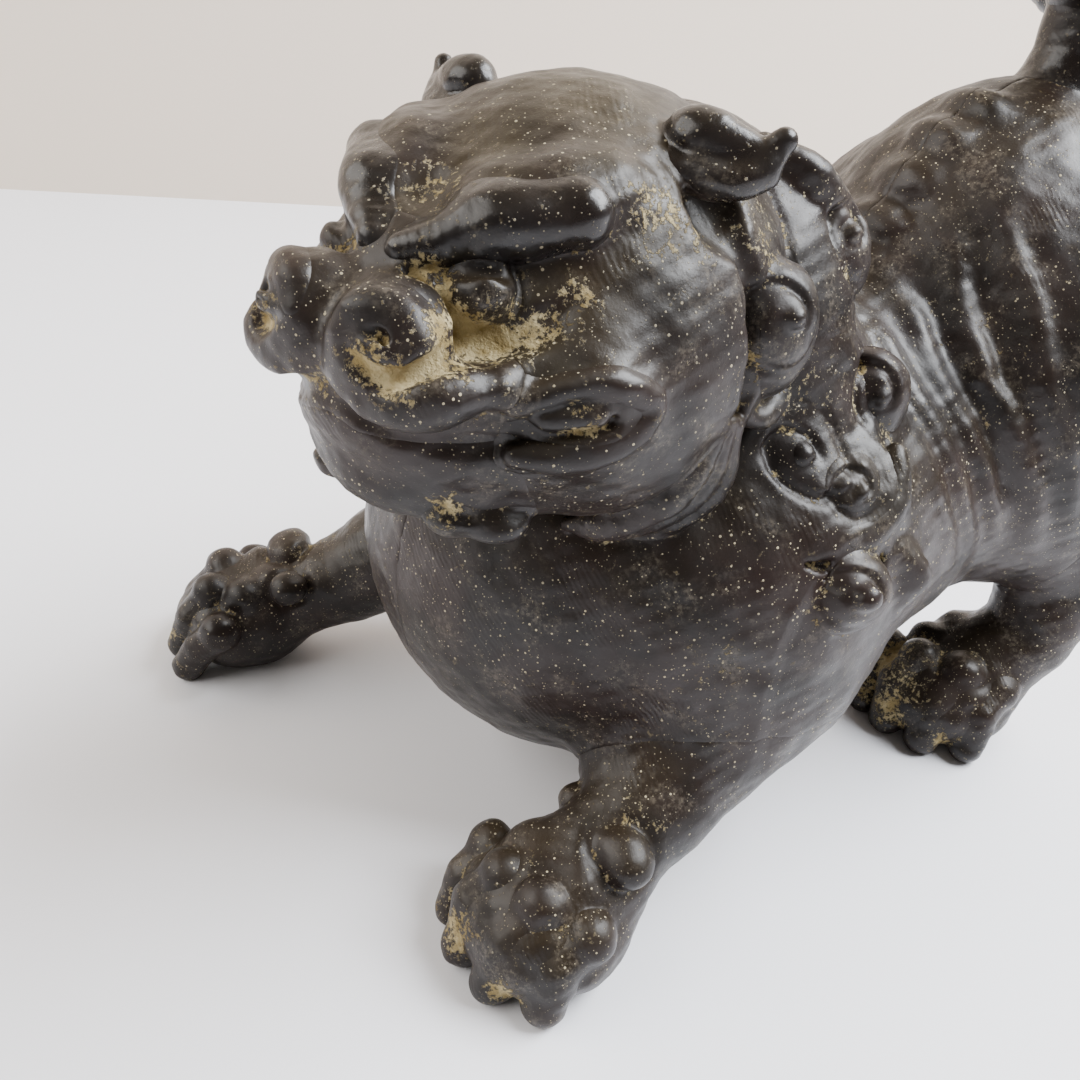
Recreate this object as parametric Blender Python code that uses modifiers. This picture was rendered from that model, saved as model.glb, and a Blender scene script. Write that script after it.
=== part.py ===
"""Crouching guardian lion, a table figure in unglazed dark stoneware.

The figure is hand built in wet clay: two press-moulded body halves, a hollow head, rolled
limbs, and small pellets, scrolls and curls luted on with slip, then fired as one body.
Every clay piece is one object. The lion faces -Y, its left side is +X, and it stands on Z = 0.
Sizes below are in millimetres; the meshes are made in metres.
"""

import math

import bmesh
import bpy
import numpy as np
from mathutils import Euler, Matrix, Vector

MM = 0.001

# ---- how the clay goes together
LUTE_GAP = 0.35          # slip joint left open between two pieces
WALL = 5.5               # thickness of the pressed body and head shells
VENT_RADIUS = 6.0        # firing vent in the belly
NECK_BORE = 9.0          # radius of the way from the head into the body

# ---- body masses: centre and half-sizes
CHEST_SIZE = (35, 33, 34)
CHEST_CLEARANCE = 6.0    # the chest hangs this far above the ground
CHEST = ((-3, 40, CHEST_CLEARANCE + CHEST_SIZE[2]), CHEST_SIZE)
RIBS = ((0, 70, 46), (34, 36, 29))
RUMP = ((0, 106, 70), (26, 26, 33))
SHOULDER = ((24, 50, 42), (16, 20, 24))
THIGH = ((22, 108, 58), (15, 20, 30))
RIB_PITCH = -18.0
RUMP_PITCH = -22.0

# ---- stance: the origin is on the ground, midway between the two fore paws
BODY_YAW = -7.0          # degrees: the body points a little to the lion's right
HEAD_YAW = 12.0          # degrees: the head turns to the lion's left
HEAD_BACK = 55.0         # the head turns about an upright line this far behind the front of the chest
HEAD_DATUM = 74.0        # the head's heights count from this far below the top of the chest
HEAD_PIVOT = (1.7, CHEST[0][1] - CHEST_SIZE[1] + HEAD_BACK, CHEST[0][2] + CHEST_SIZE[2] - HEAD_DATUM)

# ---- head masses, in the head's own frame
SKULL = ((0, -38, 81), (26, 26, 24))
CHEEK = ((12, -43, 76), (14, 18, 15))
MANE = ((0, -17, 75), (26.5, 18, 25))      # the clay behind the face that the curls sit on
MUZZLE = ((0, -66, 80), (14, 12, 9.5))
JAW = ((0, -59, 66), (13, 13, 9))

# ---- head trim
NOSTRIL_RADIUS = 6.0
NOSTRIL_SPREAD = 6.6
EYE_RADIUS = 4.2
EYE_SPREAD = 10.5 / 26   # from the middle of the face to an eye, against the skull's half-width
BROW_THICKNESS = 3.6
EAR_THICKNESS = 3.4
EAR_LENGTH = 13.0
MOUTH_CURL_RADIUS = 4.2
BEARD_RADIUS = 3.6
JAW_LOCK_THICKNESS = 3.2

# ---- mane
CURL_SCALE = 1.0         # the curls' size against the half-sizes in CURLS

# ---- limbs
PAW_SIZE = (12.5, 12.5, 8.0)
FORE_PAW_LEFT = (35.5, 9.5)
FORE_PAW_RIGHT = (-46.0, 4.5)
HIND_PAW_LEFT = (37.0, 94.0)
HIND_PAW_RIGHT = (-24.0, 103.0)
FOREARM_RADIUS = 8.5
SHANK_RADIUS = 7.5
TOE_SPACING = 0.44       # from toe to toe, against the paw's half-width
TOE_FULLNESS = 4.2 / 5.5    # a toe's radius against the spacing: over a half, so that toes press together
SOLE_FLAT = 0.8          # the soles are rubbed flat by this much

# ---- tail
TAIL_ROOT = (0, 116, 101)
TAIL_STEM_RADIUS = 6.0
TAIL_STEM_HEIGHT = 12.0
FLAME_RADIUS = 11.5
FLAME_HEIGHT = 33.0
FLAME_LOCK_RADIUS = 5.0

STONEWARE = (0.036, 0.025, 0.021)
OLIVE_CLAY = (0.050, 0.041, 0.025)
GLOSSY_CLAY = (0.018, 0.014, 0.013)


# ---- frames: where a group of pieces sits and how it is turned

def turned(pivot, yaw):
    return Matrix.Translation(Vector(pivot)) @ Matrix.Rotation(math.radians(yaw), 4, "Z")


WORLD = Matrix.Identity(4)
BODY = turned((0, 0, 0), BODY_YAW)
HEAD = turned(HEAD_PIVOT, HEAD_YAW)


def paw_frame(spot, yaw):
    return turned((spot[0], spot[1], 0), yaw)


PAWS = {
    "fore_left": paw_frame(FORE_PAW_LEFT, 8),
    "fore_right": paw_frame(FORE_PAW_RIGHT, -32),
    "hind_left": paw_frame(HIND_PAW_LEFT, -2),
    "hind_right": paw_frame(HIND_PAW_RIGHT, -14),
}


# ---- scene, collections and materials

def clear_scene():
    for item in list(bpy.data.objects):
        bpy.data.objects.remove(item, do_unlink=True)


def new_collection(name, hidden=False):
    group = bpy.data.collections.new(name)
    bpy.context.scene.collection.children.link(group)
    group.hide_render = hidden
    return group


def clay(name, colour, roughness):
    material = bpy.data.materials.new(name)
    material.use_nodes = True
    shader = material.node_tree.nodes["Principled BSDF"]
    shader.inputs["Base Color"].default_value = (*colour, 1.0)
    shader.inputs["Roughness"].default_value = roughness
    shader.inputs["Metallic"].default_value = 0.0
    material.diffuse_color = (*colour, 1.0)
    return material


clear_scene()
LION = new_collection("guardian_lion")
CUTTERS = new_collection("cutters", hidden=True)
BODY_CLAY = clay("body_clay", STONEWARE, 0.5)
CROWN_CLAY = clay("crown_clay", OLIVE_CLAY, 0.45)
BURNISHED_CLAY = clay("burnished_clay", GLOSSY_CLAY, 0.3)


# ---- shapes: each returns a list of closed primitives as (bmesh maker, matrix) pairs

def blob(frame, centre, radii, tilt=(0, 0, 0)):
    """An ellipsoid of clay; tilt is in degrees about X, Y and Z."""
    turn = Euler([math.radians(a) for a in tilt]).to_matrix().to_4x4()
    place = frame @ Matrix.Translation(Vector(centre)) @ turn @ Matrix.Diagonal((*radii, 1))
    return [("ball", place, 1.0)]


def pair(frame, centre, radii, tilt=(0, 0, 0)):
    """The same ellipsoid on the left and, mirrored, on the right."""
    mirrored = (-centre[0], centre[1], centre[2])
    return blob(frame, centre, radii, tilt) + blob(frame, mirrored, radii, (tilt[0], -tilt[1], -tilt[2]))


def roll(frame, path):
    """A rolled coil of clay through (point, radius) pairs, with round ends."""
    shapes = []
    for (start, first), (end, last) in zip(path, path[1:]):
        a = Vector(start)
        b = Vector(end)
        along = b - a
        turn = along.to_track_quat("Z", "Y").to_matrix().to_4x4()
        place = frame @ Matrix.Translation((a + b) / 2) @ turn @ Matrix.Diagonal((1, 1, along.length, 1))
        shapes.append(("cone", place, (first, last)))
    for point, radius in path:
        shapes += blob(frame, point, (radius, radius, radius))
    return shapes


def mesh_of(shapes):
    """All the primitives in one mesh, still overlapping."""
    bm = bmesh.new()
    for kind, place, size in shapes:
        scaled = Matrix.Scale(MM, 4) @ place
        if kind == "ball":
            bmesh.ops.create_uvsphere(bm, u_segments=32, v_segments=20, radius=size, matrix=scaled)
        else:
            bmesh.ops.create_cone(
                bm, cap_ends=True, segments=28, radius1=size[0], radius2=size[1], depth=1.0, matrix=scaled
            )
    mesh = bpy.data.meshes.new("shapes")
    bm.to_mesh(mesh)
    bm.free()
    return mesh


# ---- clay work: fuse the primitives, smooth them, cut them to fit, keep one body

def add_object(name, mesh, group):
    piece = bpy.data.objects.new(name, mesh)
    group.objects.link(piece)
    return piece


def settle(piece):
    """Make the evaluated modifiers the object's own mesh."""
    bpy.context.view_layer.update()
    graph = bpy.context.evaluated_depsgraph_get()
    mesh = bpy.data.meshes.new_from_object(piece.evaluated_get(graph))
    piece.modifiers.clear()
    piece.data = mesh
    return piece


def fuse(piece, grain, smoothing, faces):
    """Remesh at a grain in mm, smooth, and thin out to about the given triangle count."""
    remesh = piece.modifiers.new("remesh", "REMESH")
    remesh.mode = "VOXEL"
    remesh.voxel_size = grain * MM
    smooth = piece.modifiers.new("smooth", "SMOOTH")
    smooth.factor = 0.5
    smooth.iterations = smoothing
    settle(piece)
    thin = piece.modifiers.new("thin", "DECIMATE")
    triangles = 2 * len(piece.data.polygons)
    thin.ratio = min(1.0, faces / triangles)
    settle(piece)


def cutter(piece):
    piece.hide_render = True
    piece.display_type = "WIRE"
    return piece


def grown(piece, by):
    """A hidden copy of a piece, swollen by a distance in mm, to cut its neighbours with."""
    copy = cutter(add_object("room_for_" + piece.name, piece.data.copy(), CUTTERS))
    swell = copy.modifiers.new("swell", "DISPLACE")
    swell.mid_level = 0.0
    swell.strength = by * MM
    return settle(copy)


def boolean(piece, other, operation):
    cut = piece.modifiers.new("fit", "BOOLEAN")
    cut.operation = operation
    cut.object = other
    settle(piece)


def keep_largest(mesh):
    """Drop the crumbs that a cut can leave beside the piece."""
    bm = bmesh.new()
    bm.from_mesh(mesh)
    bmesh.ops.triangulate(bm, faces=bm.faces)
    waiting = set(bm.faces)
    bodies = []
    while waiting:
        edge_of_body = [waiting.pop()]
        body = list(edge_of_body)
        while edge_of_body:
            face = edge_of_body.pop()
            for edge in face.edges:
                for near in edge.link_faces:
                    if near in waiting:
                        waiting.remove(near)
                        body.append(near)
                        edge_of_body.append(near)
        bodies.append(body)
    bodies.sort(key=lambda faces: sum(face.calc_area() for face in faces))
    crumbs = [face for body in bodies[:-1] for face in body]
    bmesh.ops.delete(bm, geom=crumbs, context="FACES")
    bm.to_mesh(mesh)
    bm.free()


def finish(piece, material):
    keep_largest(piece.data)
    piece.data.materials.clear()
    piece.data.materials.append(material)
    piece.data.shade_smooth()
    piece.data.set_sharp_from_angle(angle=math.radians(50))
    return piece


def model(name, shapes, neighbours=(), material=BODY_CLAY, grain=0.8, faces=80, smoothing=3, cuts=()):
    """One clay piece, cut to sit against each neighbour with the slip gap between."""
    piece = add_object(name, mesh_of(shapes), LION)
    fuse(piece, grain, smoothing, faces)
    for tool in [*map(room, neighbours), *cuts]:
        boolean(piece, tool, "DIFFERENCE")
    return finish(piece, material)


ROOMS = {}


def room(piece):
    if piece.name not in ROOMS:
        ROOMS[piece.name] = grown(piece, LUTE_GAP)
    return ROOMS[piece.name]


def box_cutter(name, frame, low, high):
    """A straight-sided cutter between two corners of a frame."""
    bm = bmesh.new()
    centre = (Vector(low) + Vector(high)) / 2
    size = Vector(high) - Vector(low)
    place = Matrix.Scale(MM, 4) @ frame @ Matrix.Translation(centre) @ Matrix.Diagonal((*size, 1))
    bmesh.ops.create_cube(bm, size=1.0, matrix=place)
    mesh = bpy.data.meshes.new(name)
    bm.to_mesh(mesh)
    bm.free()
    return cutter(add_object(name, mesh, CUTTERS))


def bore_cutter(name, path, frame=WORLD):
    """A round-ended hole through (point, radius) pairs."""
    bore = cutter(add_object(name, mesh_of(roll(frame, path)), CUTTERS))
    fuse(bore, 1.2, 1, 90)
    return bore


# ---- body

def inset(mass, by):
    centre, radii = mass
    return centre, tuple(radius - by for radius in radii)


def body_masses(by=0.0):
    shapes = blob(BODY, *inset(CHEST, by))
    shapes += blob(BODY, *inset(RIBS, by), (RIB_PITCH, 0, 0))
    shapes += blob(BODY, *inset(RUMP, by), (RUMP_PITCH, 0, 0))
    shapes += blob(HEAD, *inset(MANE, by))
    if by == 0.0:
        shapes += pair(BODY, *SHOULDER, (-10, 0, 0))
        shapes += pair(BODY, *THIGH, (-10, 0, 0))
    return shapes


def spine_seam(side):
    """Everything on the other side of the seam along the spine and belly."""
    reach = 200
    edge = LUTE_GAP / 2
    if side == "left":
        return box_cutter("right_of_seam", BODY, (-reach, -reach, -reach), (edge, reach, reach))
    return box_cutter("left_of_seam", BODY, (-edge, -reach, -reach), (reach, reach, reach))


def make_torso():
    """The two pressed halves of the hollow body, open at the neck and at the belly vent."""
    hollow = cutter(add_object("body_hollow", mesh_of(body_masses(WALL)), CUTTERS))
    fuse(hollow, 2.5, 12, 260)
    skull_middle = HEAD @ Vector(SKULL[0])
    chest_middle = BODY @ Vector(CHEST[0])
    neck_way = bore_cutter("neck_way", [(skull_middle, NECK_BORE), (chest_middle, NECK_BORE)])
    belly = BODY @ Vector((0, RIBS[0][1], 0))
    vent = bore_cutter("belly_vent", [(belly, VENT_RADIUS), (belly + Vector((0, 0, 40)), VENT_RADIUS)])
    halves = []
    for side in ("left", "right"):
        half = add_object("torso_" + side, mesh_of(body_masses()), LION)
        fuse(half, 1.8, 14, 1100)
        for tool in (hollow, neck_way, vent, spine_seam(side)):
            boolean(half, tool, "DIFFERENCE")
        halves.append(finish(half, BODY_CLAY))
    return halves, neck_way


# ---- head

def head_masses(by=0.0):
    shapes = blob(HEAD, *inset(SKULL, by))
    if by == 0.0:
        shapes += pair(HEAD, *CHEEK)
    return shapes


def make_head(torso, neck_way):
    """The hollow head, open at the back into the neck."""
    head = add_object("head_shell", mesh_of(head_masses()), LION)
    fuse(head, 1.3, 6, 460)
    hollow = cutter(add_object("head_hollow", mesh_of(head_masses(WALL)), CUTTERS))
    fuse(hollow, 2.0, 4, 120)
    for half in torso:
        boolean(head, room(half), "DIFFERENCE")
    boolean(head, hollow, "DIFFERENCE")
    boolean(head, neck_way, "DIFFERENCE")
    return finish(head, CROWN_CLAY)


def make_face(head, torso):
    """Lower jaw, muzzle, nostril scrolls, eyes, brows, lip curls and beard."""
    made = {}
    centre, radii = MUZZLE
    bridge = blob(HEAD, (0, centre[1] + 8, centre[2] + 6), (7.5, 9, 6.5))
    made["muzzle"] = model("muzzle", blob(HEAD, centre, radii) + bridge, [head], faces=220)
    jaw_shapes = blob(HEAD, *JAW) + blob(HEAD, (0, JAW[0][1] + 10, JAW[0][2] + 2), (16, 12, 8))
    made["lower_jaw"] = model("lower_jaw", jaw_shapes, [*torso, head, made["muzzle"]], faces=220)
    base = [head, made["muzzle"], made["lower_jaw"]]
    for side, sign in (("left", 1), ("right", -1)):
        made.update(make_half_face(side, sign, base, torso))
    return made


def on_side(sign, point):
    return (sign * point[0], point[1], point[2])


def on_skull(sign, share):
    """A place on one side of the head, as shares of the skull's half-sizes from its middle."""
    centre, radii = SKULL
    return on_side(sign, [middle + part * radius for middle, part, radius in zip(centre, share, radii)])


def make_half_face(side, sign, base, torso):
    head, muzzle, jaw = base
    made = {}
    nose = on_side(sign, (NOSTRIL_SPREAD, MUZZLE[0][1] - 8, MUZZLE[0][2] + 4))
    nostril = blob(HEAD, nose, (NOSTRIL_RADIUS, NOSTRIL_RADIUS, NOSTRIL_RADIUS))
    made["nostril"] = model(f"nostril_{side}", nostril, [muzzle])
    eye = on_skull(sign, (EYE_SPREAD, -24 / 26, 7.5 / 24))
    eyeball = blob(HEAD, eye, (EYE_RADIUS, EYE_RADIUS, EYE_RADIUS))
    made["eye"] = model(f"eye_{side}", eyeball, [head, muzzle], faces=60)
    brow = roll(HEAD, [
        (on_skull(sign, (4 / 26, -24.5 / 26, 11.5 / 24)), BROW_THICKNESS),
        (on_skull(sign, (9 / 26, -23 / 26, 14 / 24)), BROW_THICKNESS * 1.1),
        (on_skull(sign, (14.5 / 26, -17 / 26, 16.5 / 24)), BROW_THICKNESS * 1.25),
        (on_skull(sign, (17.5 / 26, -11.5 / 26, 17 / 24)), BROW_THICKNESS * 0.8),
    ])
    made["brow"] = model(f"brow_{side}", brow, [head, muzzle, made["eye"]], BURNISHED_CLAY, faces=120)
    ear_root = Vector((15, -36, 99.5))
    ear = roll(HEAD, [
        (on_side(sign, ear_root), EAR_THICKNESS),
        (on_side(sign, ear_root + Vector((0.45 * EAR_LENGTH, -1.5, 1.0))), EAR_THICKNESS * 1.15),
        (on_side(sign, ear_root + Vector((0.8 * EAR_LENGTH, 1.0, -2.5))), EAR_THICKNESS * 0.9),
        (on_side(sign, ear_root + Vector((EAR_LENGTH, 3.5, -0.5))), EAR_THICKNESS * 0.55),
    ])
    made["ear"] = model(f"ear_{side}", ear, [head], BURNISHED_CLAY, faces=110)
    corner = on_side(sign, (19.5, -59, 75.5))
    size = MOUTH_CURL_RADIUS
    curl = blob(HEAD, corner, (size, 0.7 * size, size), (0, 0, sign * 50))
    made["mouth_curl"] = model(f"mouth_curl_{side}", curl, [head, jaw], faces=60)
    tuft = blob(HEAD, on_side(sign, (9, -66, 61.5)), (BEARD_RADIUS, BEARD_RADIUS, BEARD_RADIUS))
    made["beard_curl"] = model(f"beard_curl_{side}", tuft, [head, *torso, jaw], faces=60)
    lock = roll(HEAD, [
        (on_side(sign, (25, -43, 69)), JAW_LOCK_THICKNESS),
        (on_side(sign, (21, -45, 62)), JAW_LOCK_THICKNESS),
        (on_side(sign, (16, -48, 59)), JAW_LOCK_THICKNESS * 0.8),
    ])
    made["jaw_lock"] = model(f"jaw_lock_{side}", lock, [head, *torso, jaw, made["beard_curl"]], faces=90)
    return {f"{name}_{side}": piece for name, piece in made.items()}


# ---- mane: six curls on each side, from the ear down to the shoulder

CURLS = (
    ("temple", HEAD, (25.5, -33, 87), (4.5, 9, 9.5)),
    ("nape", HEAD, (18, -12, 89), (6, 6, 8)),
    ("throat", HEAD, (26.5, -28, 69), (5, 7, 8.5)),
    ("collar", HEAD, (24.5, -10, 72), (6.5, 7, 7.5)),
    ("wither", BODY, (30, 53, 60), (6.5, 7.5, 7)),
    ("shoulder", BODY, (37, 51, 49), (5.5, 7, 7)),
)


def make_mane(head, torso, face):
    for side, sign in (("left", 1), ("right", -1)):
        nearby = [head, *torso, face[f"ear_{side}"], face[f"jaw_lock_{side}"]]
        for name, frame, centre, radii in CURLS:
            size = tuple(CURL_SCALE * radius for radius in radii)
            shape = blob(frame, on_side(sign, centre), size)
            nearby.append(model(f"mane_curl_{name}_{side}", shape, nearby, faces=80))


# ---- limbs

def leg_path(end, side):
    """Points down a leg, from inside the body to the back of its paw."""
    paw = PAWS[f"{end}_{side}"]
    sign = 1 if side == "left" else -1
    heel = paw @ Vector((0, 2, PAW_SIZE[2] + 1))
    if end == "fore":
        top = BODY @ Vector(on_side(sign, (SHOULDER[0][0], SHOULDER[0][1], 30)))
        wrist = paw @ Vector((0, 17, 14.5))
        return [(top, FOREARM_RADIUS * 1.5), (wrist, FOREARM_RADIUS), (heel, FOREARM_RADIUS * 0.95)]
    top = BODY @ Vector(on_side(sign, (THIGH[0][0], THIGH[0][1] + 2, 44)))
    hock = paw @ Vector((sign * 4, 17, 28))
    return [(top, SHANK_RADIUS * 1.7), (hock, SHANK_RADIUS), (heel, SHANK_RADIUS)]


def ground_cutter():
    reach = 300
    return box_cutter("ground", WORLD, (-reach, -reach, -reach), (reach, reach, 0.0))


def toe_shapes(paw, number):
    """One toe of four: a knuckle ball on top and a blunt claw in front."""
    across = PAW_SIZE[0]
    size = TOE_FULLNESS * TOE_SPACING * across
    side = TOE_SPACING * (number - 1.5)
    forward = -PAW_SIZE[1] * math.sqrt(1 - side * side)
    knuckle = (side * across, forward + size * 5 / 6, PAW_SIZE[2] + size * 20 / 21)
    claw = (side * across * 1.05, forward - 0.5, size * 17 / 21)
    return blob(paw, knuckle, (size, size, size)) + roll(paw, [(knuckle, size * 13 / 21), (claw, size * 5 / 7)])


def make_limb(end, side, torso, ground):
    paw = PAWS[f"{end}_{side}"]
    sole = (0, 0, PAW_SIZE[2] - SOLE_FLAT)
    shapes = roll(WORLD, leg_path(end, side)) + blob(paw, sole, PAW_SIZE)
    name = {"fore": "foreleg", "hind": "hindleg"}[end]
    leg = model(f"{name}_{side}", shapes, torso, grain=1.2, faces=300, smoothing=5, cuts=[ground])
    nearby = [leg]
    if end == "fore":
        tuft = blob(paw, (7.5, 10, 15), (5.5, 6, 4.5))
        nearby.append(model(f"wrist_tuft_{side}", tuft, [*torso, leg], faces=60))
    for number in range(4):
        toe = toe_shapes(paw, number)
        nearby.append(model(f"toe_{end}_{side}_{number + 1}", toe, nearby, faces=80, cuts=[ground]))


# ---- tail

def make_tail(torso):
    root = Vector(TAIL_ROOT)
    top = root + Vector((0, 2, TAIL_STEM_HEIGHT))
    stem_path = [(root - Vector((0, 4, 5)), TAIL_STEM_RADIUS), (top, TAIL_STEM_RADIUS * 0.95)]
    stem = model("tail_stem", roll(BODY, stem_path), torso, BURNISHED_CLAY, faces=110)
    belly = top + Vector((0, 1, FLAME_RADIUS * 0.9))
    tip = top + Vector((0, -2, FLAME_HEIGHT))
    flame_path = [(belly, FLAME_RADIUS), (tip, FLAME_RADIUS * 0.25)]
    flame = model("tail_flame", roll(BODY, flame_path), [stem], BURNISHED_CLAY, faces=180)
    for side, sign in (("left", 1), ("right", -1)):
        low = belly + Vector((sign * FLAME_RADIUS * 0.85, 0, -2))
        high = low + Vector((-sign * 3, 0, 0.45 * FLAME_HEIGHT))
        lock = roll(BODY, [(low, FLAME_LOCK_RADIUS), (high, FLAME_LOCK_RADIUS * 0.4)])
        model(f"tail_lock_{side}", lock, [stem, flame], BURNISHED_CLAY, faces=80)


# ---- put the origin at the middle of the footprint

def centre_on_footprint():
    corners = np.array([v.co for piece in LION.objects for v in piece.data.vertices])
    low = corners.min(axis=0)
    high = corners.max(axis=0)
    shift = Matrix.Translation((-(low[0] + high[0]) / 2, -(low[1] + high[1]) / 2, -low[2]))
    for piece in [*LION.objects, *CUTTERS.objects]:
        piece.data.transform(shift)


def main():
    torso, neck_way = make_torso()
    head = make_head(torso, neck_way)
    face = make_face(head, torso)
    make_mane(head, torso, face)
    ground = ground_cutter()
    for end in ("fore", "hind"):
        for side in ("left", "right"):
            make_limb(end, side, torso, ground)
    make_tail(torso)
    centre_on_footprint()


main()
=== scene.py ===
"""A stoneware guardian lion, sculpted as clay pieces over its fixed solid model.

Each piece is a field of distances to rolls, balls and pads of clay. The pieces are pressed into each
other and cut with tool strokes in the order of work. Each piece then gets its own share of the surface.
Lengths are in millimetres until a mesh is made.
"""

import math
from concurrent.futures import ThreadPoolExecutor

import bpy
import numpy as np
import openvdb
from mathutils import Matrix, Vector


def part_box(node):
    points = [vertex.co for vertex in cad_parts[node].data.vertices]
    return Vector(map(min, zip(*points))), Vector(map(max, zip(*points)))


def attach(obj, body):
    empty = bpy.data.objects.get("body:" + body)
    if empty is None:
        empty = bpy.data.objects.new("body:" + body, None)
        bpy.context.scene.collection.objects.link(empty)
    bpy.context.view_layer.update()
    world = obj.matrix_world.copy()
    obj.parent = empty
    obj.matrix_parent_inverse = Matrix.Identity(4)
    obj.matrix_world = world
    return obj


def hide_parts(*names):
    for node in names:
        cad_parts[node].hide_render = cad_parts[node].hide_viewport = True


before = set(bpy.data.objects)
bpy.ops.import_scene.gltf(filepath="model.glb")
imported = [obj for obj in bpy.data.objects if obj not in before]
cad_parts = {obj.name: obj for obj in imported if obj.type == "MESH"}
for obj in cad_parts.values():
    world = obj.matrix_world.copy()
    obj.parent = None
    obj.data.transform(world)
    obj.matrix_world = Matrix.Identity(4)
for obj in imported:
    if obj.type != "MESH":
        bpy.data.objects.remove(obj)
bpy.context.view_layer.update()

MM = 0.001
FAR = 20.0               # a distance that stands for "nowhere near", in mm
WALL = 5.5               # thickness of the pressed shells, mm
SOLE_Z = 0.02            # the soles are rubbed flat at this height, mm
FINE_REACH, BROAD_REACH = 0.9, 2.6      # how far round a point its two recess marks look, mm
COARSE = 1.0


# ---------------------------------------------------------------- axes of the body, the head and each paw
class Axes:
    """Axes turned about the vertical and moved over the ground, in mm."""

    def __init__(self, yaw, x, y):
        a = math.radians(yaw)
        self.turn = np.array([[math.cos(a), -math.sin(a), 0], [math.sin(a), math.cos(a), 0], [0, 0, 1]])
        self.origin = np.array([x, y, 0.0])

    def at(self, point):
        return self.turn @ np.array(point, float) + self.origin


BODY_YAW = -7
TAIL_FOOT = (0, 119)     # where the tail's flame stands, in the body's axes
flame_low, flame_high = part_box("tail_flame")
flame = Axes(BODY_YAW, 0, 0).at((*TAIL_FOOT, 0))
SHIFT_X = (flame_low.x + flame_high.x) / 2 / MM - flame[0]
SHIFT_Y = (flame_low.y + flame_high.y) / 2 / MM - flame[1]


def placed(yaw, x, y):
    return Axes(yaw, x + SHIFT_X, y + SHIFT_Y)


FIGURE = placed(0, 0, 0)
BODY = placed(BODY_YAW, 0, 0)
HEAD = placed(12, 1.7, 62)
PAWS = {
    "fore_left": placed(-6, 35.5, 9.5),
    "fore_right": placed(-32, -46, 4.5),
    "hind_left": placed(4, 36.5, 97),
    "hind_right": placed(-14, -24, 105),
}


# ---------------------------------------------------------------- clay shapes as distance fields
class Stroke:
    """One ball or roll: the box that holds it, and its field of distances."""

    def __init__(self, low, high, field):
        self.low, self.high, self.field = low, high, field


def tilted(pitch=0, roll=0, yaw=0):
    """A 3x3 turn: pitch about x, then roll about y, then yaw about z, in degrees."""
    turn = Matrix.Rotation(math.radians(yaw), 3, "Z") @ Matrix.Rotation(math.radians(roll), 3, "Y")
    return np.array(turn @ Matrix.Rotation(math.radians(pitch), 3, "X"))


def along(axes, middle, x, y, z):
    """The coordinates of a block's points along three turned axes."""
    dx, dy, dz = x - middle[0], y - middle[1], z - middle[2]
    return [dx * axes[0][i] + dy * axes[1][i] + dz * axes[2][i] for i in range(3)]


def ball(space, centre, half, tilt=None):
    """An ellipsoid of clay with the given half-sizes."""
    turn = space.turn @ (np.eye(3) if tilt is None else tilt)
    middle = space.at(centre)
    reach = np.sqrt((turn ** 2) @ (np.array(half, float) ** 2))
    axes, m, h = turn.tolist(), middle.tolist(), [float(v) for v in half]

    def field(x, y, z):
        q = [c / s for c, s in zip(along(axes, m, x, y, z), h)]
        near = np.sqrt(q[0] ** 2 + q[1] ** 2 + q[2] ** 2)
        slope = np.sqrt((q[0] / h[0]) ** 2 + (q[1] / h[1]) ** 2 + (q[2] / h[2]) ** 2)
        return near * (near - 1) / np.maximum(slope, 1e-4)

    return Stroke(middle - reach, middle + reach, field)


def roll(space, points):
    """A tapered roll of clay through (x, y, z, radius) points."""
    path = [space.at(p[:3]) for p in points]
    radii = [float(p[3]) for p in points]
    joints = [p.tolist() for p in path]

    def field(x, y, z):
        nearest = None
        for a, b, ra, rb in zip(joints, joints[1:], radii, radii[1:]):
            step = [q - p for p, q in zip(a, b)]
            length = max(sum(s * s for s in step), 1e-9)
            du, dv, dw = x - a[0], y - a[1], z - a[2]
            t = np.clip((du * step[0] + dv * step[1] + dw * step[2]) / length, 0, 1)
            gap = np.sqrt((du - t * step[0]) ** 2 + (dv - t * step[1]) ** 2 + (dw - t * step[2]) ** 2)
            gap -= ra + (rb - ra) * t
            nearest = gap if nearest is None else np.minimum(nearest, gap)
        return nearest

    reach = max(radii)
    return Stroke(np.min(path, 0) - reach, np.max(path, 0) + reach, field)


def bent(points, steps=5):
    """(x, y, z, radius) points joined by a smooth curve, sampled between them."""
    points = np.array(points, float)
    ends = np.vstack([2 * points[0] - points[1], points, 2 * points[-1] - points[-2]])
    curve = []
    for a, b, c, d in zip(ends, ends[1:], ends[2:], ends[3:]):
        for t in np.arange(steps) / steps:
            curve.append(0.5 * (2 * b + (c - a) * t + (2 * a - 5 * b + 4 * c - d) * t ** 2
                                + (3 * b - a - 3 * c + d) * t ** 3))
    return [tuple(p) for p in curve] + [tuple(points[-1])]


def melt(a, b, k):
    """Two fields joined with a fillet of about k."""
    h = np.clip(0.5 + (b - a) * (0.5 / k), 0, 1)
    return b + (a - b) * h - k * h * (1 - h)


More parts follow.
